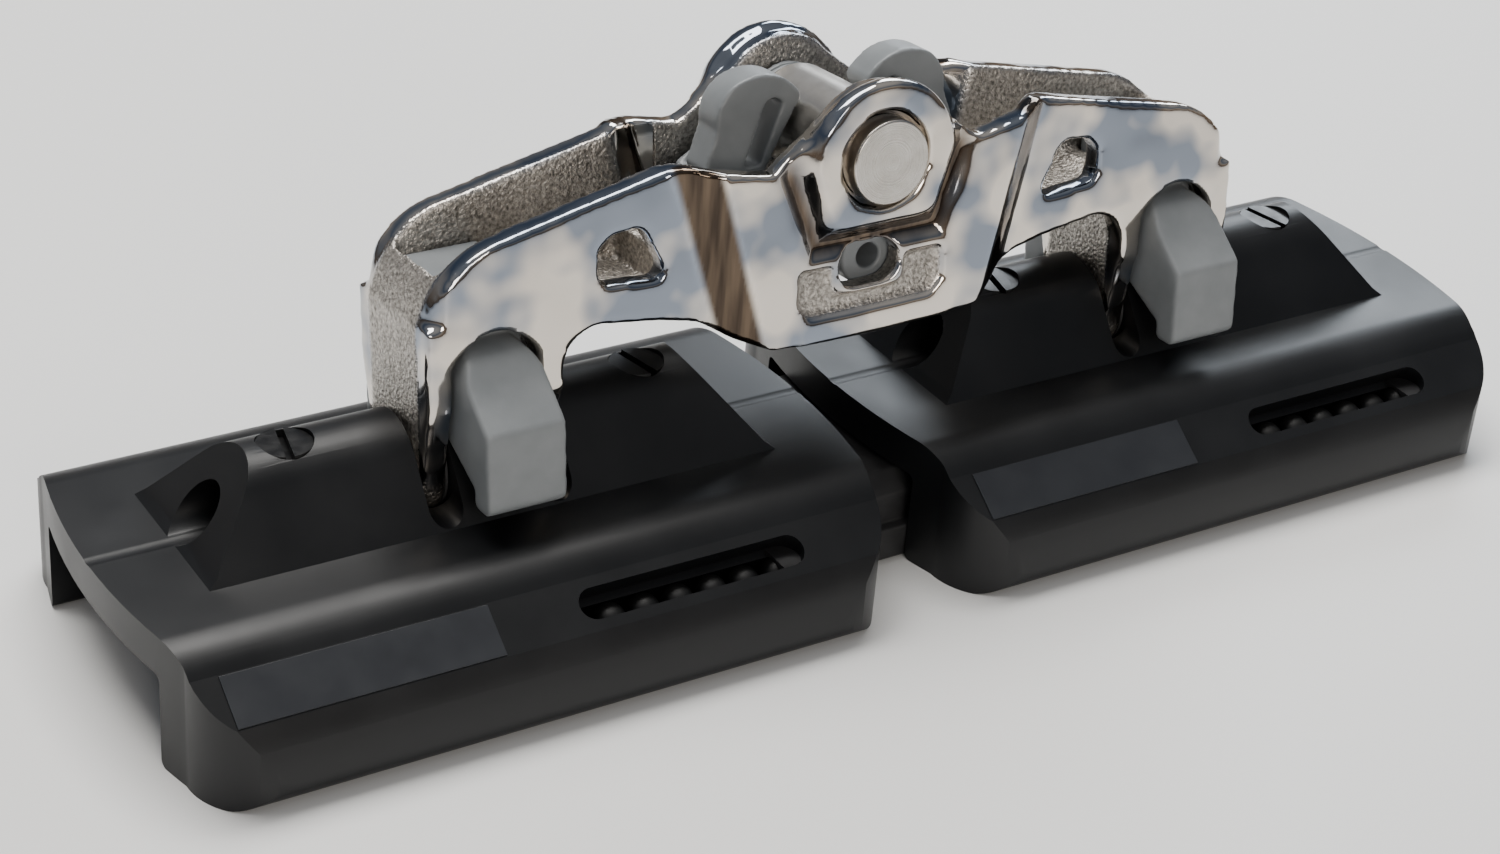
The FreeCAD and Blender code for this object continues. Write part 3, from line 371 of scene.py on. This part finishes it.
# %% Plastics, film and screw finish
def moulded(name, dark, light, roughness, grain_size, grain_depth, stretch=(1.0, 1.0, 1.0)):
    """A plastic with a mottle between two colours and a moulded or extruded texture."""
    finish, tree, shader = new_finish(name)
    mottle = patches(tree, 6 * MM, detail=4.0)
    texture = patches(tree, grain_size, stretch=stretch, detail=2.0)
    colour = blended(tree, spread(tree, mottle, 0.0, 1.0), (*dark, 1), (*light, 1))
    normal = relief(tree, texture, grain_depth)
    wire(tree, shader, colour=colour, roughness=spread(tree, mottle, *roughness), normal=normal)
    return finish


def blackened_screw():
    finish, tree, shader = new_finish("blackened_screw")
    cloud = patches(tree, 1.5 * MM)
    colour = blended(
        tree, spread(tree, cloud, 0.0, 1.0), (0.005, 0.005, 0.0055, 1), (0.016, 0.0155, 0.015, 1))
    normal = relief(tree, patches(tree, 0.25 * MM), 0.015 * MM)
    wire(tree, shader, colour=colour, roughness=spread(tree, cloud, 0.28, 0.42), normal=normal)
    shader.inputs["Metallic"].default_value = 0.6
    return finish


ANODISED = black_anodised()
CASTING = polished_casting()
TURNED = turned_steel("turned_cross_pin", PIN_PLACE, LEAN)
GREY = moulded("grey_plastic", (0.165, 0.178, 0.186), (0.205, 0.219, 0.227),
               (0.36, 0.46), 0.22 * MM, 0.012 * MM)
BLACK = moulded("black_plastic", (0.010, 0.010, 0.011), (0.020, 0.020, 0.021),
                (0.38, 0.52), 0.3 * MM, 0.02 * MM, stretch=(60.0, 1.0, 1.0))
BUSHING = moulded("bush_plastic", (0.020, 0.020, 0.021), (0.034, 0.034, 0.035),
                  (0.45, 0.6), 0.2 * MM, 0.015 * MM)
BEARING = moulded("ball_plastic", (0.0022, 0.0021, 0.0020), (0.0045, 0.0043, 0.0040),
                  (0.48, 0.58), 0.5 * MM, 0.002 * MM)
FILM = moulded("label_film", (0.013, 0.0145, 0.018), (0.018, 0.020, 0.024),
               (0.30, 0.36), 0.9 * MM, 0.006 * MM)
SCREW = blackened_screw()
print("finishes:", len(bpy.data.materials))

# %% [markdown]
# ## Growing a finished piece from a packed one
#
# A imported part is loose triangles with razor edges. Real edges are broken by a tool or a mould and
# catch a thin line of light. So a copy of the part is merged, its flat faces are joined again, and
# a Bevel rounds every edge that turns more than a set angle. The modifier's result is made a plain
# mesh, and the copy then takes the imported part's place on the same body.

# %% Copying, rounding and handing over
MERGE_WITHIN = 0.002 * MM
FLAT_WITHIN = math.radians(0.6)
ON_CREASE = 0.08 * MM


def merged_copy(node, name):
    """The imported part's triangles as one closed mesh, with its flat faces whole again."""
    work = bmesh.new()
    work.from_mesh(frame["nodes"][node].data)
    bmesh.ops.remove_doubles(work, verts=work.verts, dist=MERGE_WITHIN)
    bmesh.ops.dissolve_limit(work, angle_limit=FLAT_WITHIN, verts=work.verts, edges=work.edges)
    mesh = bpy.data.meshes.new(name)
    work.to_mesh(mesh)
    work.free()
    copy = bpy.data.objects.new(name, mesh)
    bpy.context.scene.collection.objects.link(copy)
    return copy


def settled(piece):
    """The piece with its modifiers worked out and removed."""
    bpy.context.view_layer.update()
    seen = piece.evaluated_get(bpy.context.evaluated_depsgraph_get())
    plain = bpy.data.meshes.new_from_object(seen)
    piece.modifiers.clear()
    piece.data = plain
    plain.name = piece.name
    return piece


def handed_over(piece, finish, body, slot_name, *nodes):
    """The piece takes its finish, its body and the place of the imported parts."""
    piece.data.materials.clear()
    piece.data.materials.append(finish)
    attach(piece, body)
    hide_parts(*nodes)
    return piece


def softened(piece, angle=30.0):
    """Smooth shading, with edges sharper than the angle kept crisp."""
    piece.data.polygons.foreach_set("use_smooth", [True] * len(piece.data.polygons))
    piece.data.set_sharp_from_angle(angle=math.radians(angle))
    return piece


def edge_weights(mesh, angle, creases):
    """Edges to round: those that turn more than the angle, and those along a stated crease."""
    work = bmesh.new()
    work.from_mesh(mesh)
    weight = work.edges.layers.float.new("bevel_weight_edge")
    for edge in work.edges:
        sharp = len(edge.link_faces) == 2 and edge.calc_face_angle(0.0) > angle
        ends = [(abs(point.co.y), point.co.z) for point in edge.verts]
        for across, up in creases:
            if all(abs(y - across) < ON_CREASE and abs(z - up) < ON_CREASE for y, z in ends):
                sharp = True
        edge[weight] = 1.0 if sharp else 0.0
    work.to_mesh(mesh)
    work.free()


def rounded(node, name, radius, segments=2, angle=28.0, creases=()):
    """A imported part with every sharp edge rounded, and its flat faces shaded flat."""
    piece = merged_copy(node, name)
    edge_weights(piece.data, math.radians(angle), creases)
    edge = piece.modifiers.new("broken_edges", "BEVEL")
    edge.width = radius
    edge.segments = segments
    edge.limit_method = "WEIGHT"
    edge.use_clamp_overlap = True
    even = piece.modifiers.new("flat_faces_flat", "WEIGHTED_NORMAL")
    even.mode = "FACE_AREA"
    even.weight = 90
    softened(piece, 180.0)
    return settled(piece)


def report(piece):
    print("%-22s %6d faces" % (piece.name, len(piece.data.polygons)))


# %% [markdown]
# ## The two cars
#
# Each car is a wide low saddle over the track: a flat crown, a sloping facet each side and a
# rounded skirt. A ridge along the top takes the pivot pin. The thin light lines on the real ones
# are only broken edges, so a quarter of a millimetre of rounding is enough to draw them.

# %% Car bodies and their labels
CREASES = [(27.7 * MM, 17.8 * MM), (34.4 * MM, 13.2 * MM)]
BROKEN_EDGE = 0.25 * MM
FILM_EDGE = 0.05 * MM
for side in SIDES:
    node = side + "_car_body"
    car = rounded(node, side + "_car_shell", BROKEN_EDGE, creases=CREASES)
    report(handed_over(car, ANODISED, CARS[side], "black_anodised", node))
    label_film_and_painted_hollow_reflection = rounded(side + "_label", side + "_label_film", FILM_EDGE)
    report(handed_over(label_film_and_painted_hollow_reflection, FILM, CARS[side], "label_film", side + "_label"))

# %% [markdown]
# ## The casting
#
# The yoke was cast in wax first, so no edge on it is sharp and every wall runs into the next with
# a fillet. Rounding each edge by hand would miss the places where four walls meet. A voxel remesh
# turns the whole part into an even skin, and a few passes of smoothing then melt its edges by
# about a millimetre while flat faces stay where they are.
#
# Two things are then worked out point by point, in the casting's own upright frame. Marks say
# which points are as cast and which lie in a hollow, for the finish to read. A shallow valley is
# pressed in round the lower half of each boss. The marks come first, so they are placed on the
# shape before it is pressed.

# %% The yoke
def melted(node, name, voxel, passes, factor=0.5):
    """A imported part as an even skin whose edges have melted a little."""
    piece = merged_copy(node, name)
    skin = piece.modifiers.new("even_skin", "REMESH")
    skin.mode = "VOXEL"
    skin.voxel_size = voxel
    skin.adaptivity = 0.0
    melt = piece.modifiers.new("melted_edges", "SMOOTH")
    melt.factor = factor
    melt.iterations = passes
    settled(piece)
    return softened(piece, 180.0)


WALL_IN = 11.7 * MM
WALL_IN_ARM = 7.3 * MM
ARM_STARTS = 22.0 * MM
PANEL_LEFT, PANEL_RIGHT = -13.6 * MM, 12.0 * MM
PANEL_FOOT, PANEL_HEAD = 15.0 * MM, 23.0 * MM
PANEL_FACE = 14.9 * MM
CAST_MARGIN, CAST_FADE, PANEL_FADE = 0.5 * MM, 0.8 * MM, 0.4 * MM

BOSS_ROUND = 11.8 * MM
BOSS_FOOT = 29.1 * MM
BOSS_SHOULDER = Vector((11.8, 0.0)) * MM
BOSS_CORNER = Vector((8.6, 30.1)) * MM
GROOVE_DEEP, GROOVE_WIDE, GROOVE_OUT = 1.5 * MM, 1.7 * MM, 3.0 * MM
GROOVE_TOP, GROOVE_TOP_FADE, GROOVE_SIDE_FADE = 4 * MM, 5 * MM, 1.0 * MM
FOLD_START, FOLD_START_RISE = 18.9 * MM, 0.26
FOLD_END, FOLD_END_RISE = 24.8 * MM, 0.28
FOLD_HEIGHT = 13 * MM
FOLD_FADE = 0.9 * MM
ARM_FACE = 10.2 * MM
OUTER_FACE = 13.6 * MM


def outside_boss(x, z):
    """How far a place on the outer face is outside the boss, negative inside it."""
    x = abs(x)
    if z > PIN_UP:
        return math.hypot(x, z - PIN_UP) - BOSS_ROUND
    slant = Vector((PIN_UP - BOSS_CORNER.y, BOSS_CORNER.x - BOSS_SHOULDER.x)).normalized()
    beside = (x - BOSS_SHOULDER.x) * slant.x + (z - PIN_UP) * slant.y
    return max(beside, BOSS_FOOT - z)


def in_groove(place):
    """One in the middle of the hollow round a boss, fading beside it and above the pin."""
    away = (outside_boss(place.x, place.z) - GROOVE_OUT) / GROOVE_WIDE
    fade = min(1.0, max(0.0, (abs(place.y) - OUTER_FACE) / GROOVE_SIDE_FADE))
    fade *= min(1.0, max(0.0, (PIN_UP + GROOVE_TOP - place.z) / GROOVE_TOP_FADE))
    return fade * math.exp(-away * away)


def in_fold(place):
    """One on the slope between an arm and the wide middle, on the outer faces only."""
    if abs(place.y) < ARM_FACE:
        return 0.0
    lift = place.z - FOLD_HEIGHT
    start = FOLD_START + FOLD_START_RISE * lift
    end = FOLD_END + FOLD_END_RISE * lift
    inside = min(abs(place.x) - start, end - abs(place.x))
    return min(1.0, max(0.0, inside / FOLD_FADE))


def carve_valleys(piece):
    """Press a shallow hollow round the lower half of each boss."""
    back = TO_YOKE.inverted()
    for point in piece.data.vertices:
        place = TO_YOKE @ point.co
        place.y -= math.copysign(GROOVE_DEEP * in_groove(place), place.y)
        point.co = back @ place


def mark_hollows(piece):
    """Points in the folds and round the bosses, where the finish paints a dark brown reflection."""
    marks = piece.data.attributes.new("hollow", "FLOAT", "POINT")
    places = [TO_YOKE @ point.co for point in piece.data.vertices]
    marks.data.foreach_set("value", [max(in_groove(place), in_fold(place)) for place in places])


def mark_as_cast(piece):
    """Points on the inner faces of the walls are as cast; the rest is polished."""
    marks = piece.data.attributes.new("as_cast", "FLOAT", "POINT")
    values = []
    for point in piece.data.vertices:
        place = TO_YOKE @ point.co
        inner = WALL_IN if abs(place.x) < ARM_STARTS else WALL_IN_ARM
        depth = (inner + CAST_MARGIN - abs(place.y)) / CAST_FADE
        sunk = (place.y + PANEL_FACE) / PANEL_FADE
        beside = PANEL_LEFT < place.x < PANEL_RIGHT
        if not (beside and PANEL_FOOT < place.z < PANEL_HEAD and place.y < 0):
            sunk = 0.0
        values.append(max(0.0, min(1.0, max(depth, sunk))))
    marks.data.foreach_set("value", values)
    return sum(1 for value in values if value > 0.5)


CASTING_SKIN, CASTING_PASSES = 0.5 * MM, 14
yoke = melted("yoke", "yoke_casting", CASTING_SKIN, CASTING_PASSES)
inside = mark_as_cast(yoke)
mark_hollows(yoke)
carve_valleys(yoke)
report(handed_over(yoke, CASTING, "yoke", "polished_casting", "yoke"))
print("points left as cast:", inside)

# %% [markdown]
# ## Grey plastic
#
# The saddles and the webbing guides are injection moulded. Their edges are rounder than the
# casting's and their faces softer, so they get the same melting at a finer skin.

# %% Saddles, guides and bobbin
SADDLE_SKIN, GUIDE_SKIN, MOULDING_PASSES = 0.42 * MM, 0.34 * MM, 6
for side in SIDES:
    saddle = melted(side + "_saddle", side + "_saddle_moulding", SADDLE_SKIN, MOULDING_PASSES)
    report(handed_over(saddle, GREY, "yoke", "grey_plastic", side + "_saddle"))
    guide = melted(side + "_webbing_guide", side + "_guide_moulding", GUIDE_SKIN, MOULDING_PASSES)
    report(handed_over(guide, GREY, side + "_guide", "grey_plastic", side + "_webbing_guide"))
bobbin = rounded("lashing_bobbin", "lashing_sleeve", 0.5 * MM, segments=3)
report(handed_over(bobbin, GREY, "yoke", "grey_plastic", "lashing_bobbin"))

# %% [markdown]
# ## Pins, roller and ring
#
# Turned parts have a small chamfer at each end so that they start in their holes. The same
# rounding helper serves, with a radius that suits each part.

# %% Turned pieces
TURNED_PIECES = [
    ("cross_pin", "cross_pin_turned", 0.35 * MM, "pin"),
    ("pin_retaining_ring", "retaining_ring", 0.15 * MM, "pin"),
    ("webbing_roller", "roller_sleeve", 0.5 * MM, "roller"),
    ("left_pivot_pin", "left_pivot_turned", 0.5 * MM, "left_car"),
    ("right_pivot_pin", "right_pivot_turned", 0.5 * MM, "right_car"),
]
for node, name, radius, body in TURNED_PIECES:
    report(handed_over(rounded(node, name, radius, segments=3), TURNED, body, "turned_steel", node))

# %% [markdown]
# ## Screws by Geometry Nodes
#
# Each car has two slotted set screws, one at each end of its ridge. They are the same screw at two
# places, which is what instances are for. The tree cuts a slot in a cylinder, puts the screw on
# two points and turns each by its own angle. Its sizes are inputs; the places, spacing and height
# are read from the imported part.

# %% Slotted screws
SCREW_DIAMETER = 8.0 * MM
SLOT_WIDTH, SLOT_DEPTH, SLOT_TURN = 1.2 * MM, 1.5 * MM, math.radians(12.0)
CUTTER_OVERRUN = 1.3


def new_tree(name, inputs):
    """A Geometry Nodes tree with named number inputs; returns it and its input sockets' names."""
    tree = bpy.data.node_groups.new(name, "GeometryNodeTree")
    tree.interface.new_socket(name="Geometry", in_out="OUTPUT", socket_type="NodeSocketGeometry")
    for label, kind in inputs:
        tree.interface.new_socket(name=label, in_out="INPUT", socket_type=kind)
    return tree, add(tree, "NodeGroupInput").outputs


def grown(name, tree, sizes):
    """An object whose mesh the tree makes from the given sizes, made plain."""
    piece = bpy.data.objects.new(name, bpy.data.meshes.new(name))
    bpy.context.scene.collection.objects.link(piece)
    step = piece.modifiers.new(tree.name, "NODES")
    step.node_group = tree
    for item in tree.interface.items_tree:
        if item.in_out == "INPUT":
            step[item.identifier] = sizes[item.name]
    return settled(piece)


def maths(tree, operation, first, second=0.0):
    return add(tree, "ShaderNodeMath", {0: first, 1: second}, operation=operation).outputs[0]


def vector(tree, x=0.0, y=0.0, z=0.0):
    return add(tree, "ShaderNodeCombineXYZ", {"X": x, "Y": y, "Z": z}).outputs[0]


def screw_tree():
    tree, given = new_tree("slotted_screws", [(label, "NodeSocketFloat") for label in (
        "Centre X", "Centre Z", "Spacing", "Diameter", "Height", "Slot Width", "Slot Depth",
        "Slot Turn")])
    radius = maths(tree, "DIVIDE", given["Diameter"], 2.0)
    shank = add(tree, "GeometryNodeMeshCylinder", {
        "Vertices": 48, "Radius": radius, "Depth": given["Height"]})
    depth = maths(tree, "MULTIPLY", given["Slot Depth"], 2.0)
    long = maths(tree, "MULTIPLY", given["Diameter"], CUTTER_OVERRUN)
    size = vector(tree, given["Slot Width"], long, depth)
    cutter = add(tree, "GeometryNodeMeshCube", {"Size": size})
    top = vector(tree, 0.0, 0.0, maths(tree, "DIVIDE", given["Height"], 2.0))
    raised = add(tree, "GeometryNodeTransform", {
        "Geometry": cutter.outputs[0], "Translation": top})
    screw = add(tree, "GeometryNodeMeshBoolean", {0: shank.outputs[0], 1: raised.outputs[0]},
                operation="DIFFERENCE")
    half = maths(tree, "DIVIDE", given["Spacing"], 2.0)
    start = vector(tree, maths(tree, "SUBTRACT", given["Centre X"], half), 0.0, given["Centre Z"])
    places = add(tree, "GeometryNodeMeshLine", {
        "Count": 2, "Start Location": start, "Offset": vector(tree, given["Spacing"])})
    number = add(tree, "GeometryNodeInputIndex").outputs[0]
    side = maths(tree, "SUBTRACT", maths(tree, "MULTIPLY", number, 2.0), 1.0)
    angle = vector(tree, 0.0, 0.0, maths(tree, "MULTIPLY", side, given["Slot Turn"]))
    turned = add(tree, "FunctionNodeEulerToRotation", {0: angle}).outputs[0]
    pair = add(tree, "GeometryNodeInstanceOnPoints", {
        "Points": places.outputs[0], "Instance": screw.outputs[0], "Rotation": turned})
    real = add(tree, "GeometryNodeRealizeInstances", {0: pair.outputs[0]})
    coated = add(tree, "GeometryNodeSetMaterial", {
        "Geometry": real.outputs[0], "Material": SCREW})
    add(tree, "NodeGroupOutput", {0: coated.outputs[0]})
    return tree


slotted = screw_tree()
for side in SIDES:
    low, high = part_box(side + "_set_screws")
    middle = (low + high) / 2
    pair = grown(side + "_slotted_screws", slotted, {
        "Centre X": middle.x, "Centre Z": middle.z, "Spacing": high.x - low.x - SCREW_DIAMETER,
        "Diameter": SCREW_DIAMETER, "Height": high.z - low.z, "Slot Width": SLOT_WIDTH,
        "Slot Depth": SLOT_DEPTH, "Slot Turn": SLOT_TURN,
    })
    softened(pair, 30.0)
    report(handed_over(pair, SCREW, CARS[side], "black_screw", side + "_set_screws"))

# %% [markdown]
# ## Bearing balls along their circuit
#
# Each side block holds a loop of balls: along the track in the working race, round a turn, back
# through the return bore and round again. A rectangle with its corners fully filleted is exactly
# that loop. The tree samples it at equal steps and puts a ball at each, so the number of balls
# and the length of the race can be changed without drawing anything again.

# %% Ball circuits
def ball_tree():
    tree, given = new_tree("ball_circuit", [
        ("Centre", "NodeSocketVector"), ("Run", "NodeSocketFloat"),
        ("Turn Radius", "NodeSocketFloat"), ("Ball Diameter", "NodeSocketFloat"),
        ("Balls", "NodeSocketInt"), ("Start", "NodeSocketFloat"),
    ])
    across = maths(tree, "MULTIPLY", given["Turn Radius"], 2.0)
    loop = add(tree, "GeometryNodeCurvePrimitiveQuadrilateral", {
        "Width": maths(tree, "ADD", given["Run"], across), "Height": across})
    bend = add(tree, "GeometryNodeFilletCurve", {
        "Curve": loop.outputs[0], "Radius": given["Turn Radius"], "Limit Radius": True,
        "Count": 16}, mode="POLY")
    number = add(tree, "GeometryNodeInputIndex").outputs[0]
    step = maths(tree, "DIVIDE", number, given["Balls"])
    share = maths(tree, "FRACT", maths(tree, "ADD", step, given["Start"]))
    sampled = add(tree, "GeometryNodeSampleCurve", {"Curves": bend.outputs[0], "Factor": share},
                  mode="FACTOR", use_all_curves=True)
    place = add(tree, "ShaderNodeVectorMath", {
        0: sampled.outputs["Position"], 1: given["Centre"]}, operation="ADD")
    spots = add(tree, "GeometryNodePoints", {"Count": given["Balls"], "Position": place.outputs[0]})
    ball = add(tree, "GeometryNodeMeshUVSphere", {
        "Segments": 16, "Rings": 10, "Radius": maths(tree, "DIVIDE", given["Ball Diameter"], 2.0)})
    smooth = add(tree, "GeometryNodeSetShadeSmooth", {
        "Geometry": ball.outputs[0], "Shade Smooth": True})
    row = add(tree, "GeometryNodeInstanceOnPoints", {
        "Points": spots.outputs[0], "Instance": smooth.outputs[0]})
    real = add(tree, "GeometryNodeRealizeInstances", {0: row.outputs[0]})
    coated = add(tree, "GeometryNodeSetMaterial", {
        "Geometry": real.outputs[0], "Material": BEARING})
    add(tree, "NodeGroupOutput", {0: coated.outputs[0]})
    return tree


BALL_DIAMETER = 5.0 * MM
BALLS_IN_CIRCUIT = 30
circuit = ball_tree()
for side in SIDES:
    for row in ("front", "back"):
        node = "%s_%s_balls" % (side, row)
        low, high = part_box(node)
        radius = (high.y - low.y - BALL_DIAMETER) / 2
        balls = grown(node[:-6] + "_bearing_balls", circuit, {
            "Centre": (low + high) / 2, "Run": high.x - low.x - BALL_DIAMETER - 2 * radius,
            "Turn Radius": radius, "Ball Diameter": BALL_DIAMETER, "Balls": BALLS_IN_CIRCUIT,
            "Start": 0.0,
        })
        report(handed_over(balls, BEARING, CARS[side], "ball_plastic", node))

# %% [markdown]
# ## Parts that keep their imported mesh
#
# Bushes and ball turnarounds are small, turned or moulded true, and mostly out of sight. Their
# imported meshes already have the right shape, so they only take a finish. The loader rail shows in
# the gap between the cars, so its long edges are broken like those of any extrusion.

# %% Loader rail, bushes and turnarounds
RAIL_EDGE = 0.4 * MM
rail = rounded("loader_rail", "loader_extrusion", RAIL_EDGE, segments=2)
report(handed_over(rail, BLACK, "loader", "black_plastic", "loader_rail"))
for side in SIDES:
    for node, finish in ((side + "_outer_bush", BUSHING), (side + "_inner_bush", BUSHING),
                         (side + "_ball_guides", BLACK)):
        frame["nodes"][node].data.materials.clear()
        frame["nodes"][node].data.materials.append(finish)
print("kept meshes finished")
